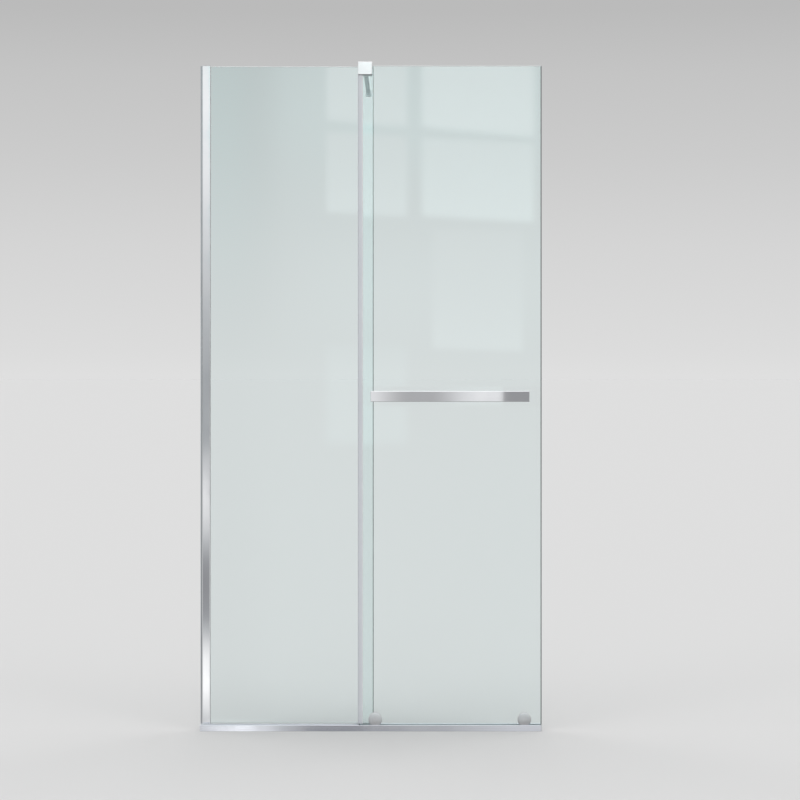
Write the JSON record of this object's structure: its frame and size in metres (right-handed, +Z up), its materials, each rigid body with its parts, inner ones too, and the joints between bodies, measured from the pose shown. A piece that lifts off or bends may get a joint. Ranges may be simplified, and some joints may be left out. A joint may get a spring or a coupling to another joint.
{
  "type": "sliding shower screen",
  "caption": "Sliding shower screen: a fixed glass panel in a wall profile and a glass door that rolls along a bottom rail, with a flat bar handle and a stabiliser bar.",
  "frame": {"origin": "middle of the bottom rail's underside, where the screen stands on the shower tray", "axes": "+X along the screen from the wall profile to the free end, +Y into the shower towards the wall that the stabiliser bar reaches, +Z up"},
  "size_m": [1, 0.7303, 1.9606],
  "materials": {
    "aluminium": "bright anodised",
    "chrome": "polished",
    "glass": "clear, toughened",
    "pvc": "translucent grey",
    "rubber": "matt grey",
    "nylon": "matt grey",
    "steel": "turned"
  },
  "bodies": {
    "frame": {"bottom_rail": "aluminium", "rail_end_cap": "pvc", "rail_stops": "nylon", "rail_gasket_front": "rubber", "rail_gasket_rear": "rubber", "rail_channel_cover": "aluminium", "setting_blocks": "rubber", "fixed_glass": "glass", "wall_channel": "aluminium", "wall_profile": "chrome", "wall_profile_cap": "pvc", "glazing_gasket_front": "rubber", "glazing_gasket_rear": "rubber", "clamp_body": "chrome", "clamp_pads": "rubber", "door_guide_liner": "nylon", "stabiliser_bar": "chrome", "wall_flange": "chrome"},
    "door": {"door_glass": "glass", "door_overlap_seal": "pvc", "door_guide_shoes": "nylon", "handle_bar": "chrome", "handle_posts": "chrome", "handle_bushes": "nylon", "handle_pads": "nylon", "handle_screws": "steel", "roller_axles": "steel", "roller_bushes": "nylon", "roller_sleeves": "steel", "roller_nuts": "nylon"},
    "roller_left": {"roller_bearing_left": "steel", "roller_tyre_left": "nylon", "roller_cap_left": "chrome"},
    "roller_right": {"roller_bearing_right": "steel", "roller_tyre_right": "nylon", "roller_cap_right": "chrome"}
  },
  "joints": [
    {"name": "door_slide", "type": "slide", "parent": "frame", "child": "door", "axis": [-1, 0, 0], "range_m": [0, 0.43]},
    {"name": "roller_left_spin", "type": "hinge", "parent": "door", "child": "roller_left", "pos_m": [0.013, -0.01225, 0.034], "axis": [0, 1, 0], "continuous": true},
    {"name": "roller_right_spin", "type": "hinge", "parent": "door", "child": "roller_right", "pos_m": [0.449, -0.01225, 0.034], "axis": [0, 1, 0], "continuous": true}
  ],
  "couplings": [
    {"joint": "roller_left_spin", "follows": "door_slide", "rad_per_m": -56.386},
    {"joint": "roller_right_spin", "follows": "door_slide", "rad_per_m": -56.386}
  ]
}
